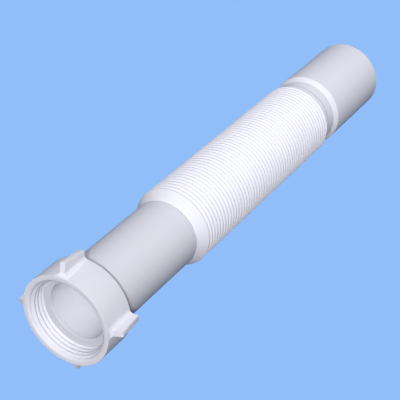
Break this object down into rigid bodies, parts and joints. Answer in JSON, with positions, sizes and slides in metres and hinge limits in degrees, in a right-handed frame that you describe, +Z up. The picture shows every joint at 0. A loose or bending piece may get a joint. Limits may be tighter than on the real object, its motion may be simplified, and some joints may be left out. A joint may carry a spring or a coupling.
{
  "type": "corrugated drain pipe",
  "caption": "Flexible plastic drain pipe: winged coupling nut and smooth cuff at one end, corrugated middle, smooth spigot at the other end.",
  "frame": {"origin": "on the pipe's axis, at the face of the sealing washer where the drain outlet seats", "axes": "+X along the pipe from the nut towards the end spigot, +Z up as the pipe lies on its side"},
  "size_m": [0.3451, 0.0554, 0.0554],
  "materials": {
    "white_plastic": "satin moulded polypropylene",
    "white_plastic_nut": "satin moulded polypropylene",
    "white_rubber": "matt soft rubber"
  },
  "bodies": {
    "pipe": {"corrugated_pipe": "white_plastic", "sealing_washer": "white_rubber"},
    "nut": {"coupling_nut": "white_plastic_nut"}
  },
  "joints": [
    {"name": "nut_spin", "type": "hinge", "parent": "pipe", "child": "nut", "pos_m": [0, 0, 0], "axis": [1, 0, 0], "continuous": true}
  ]
}
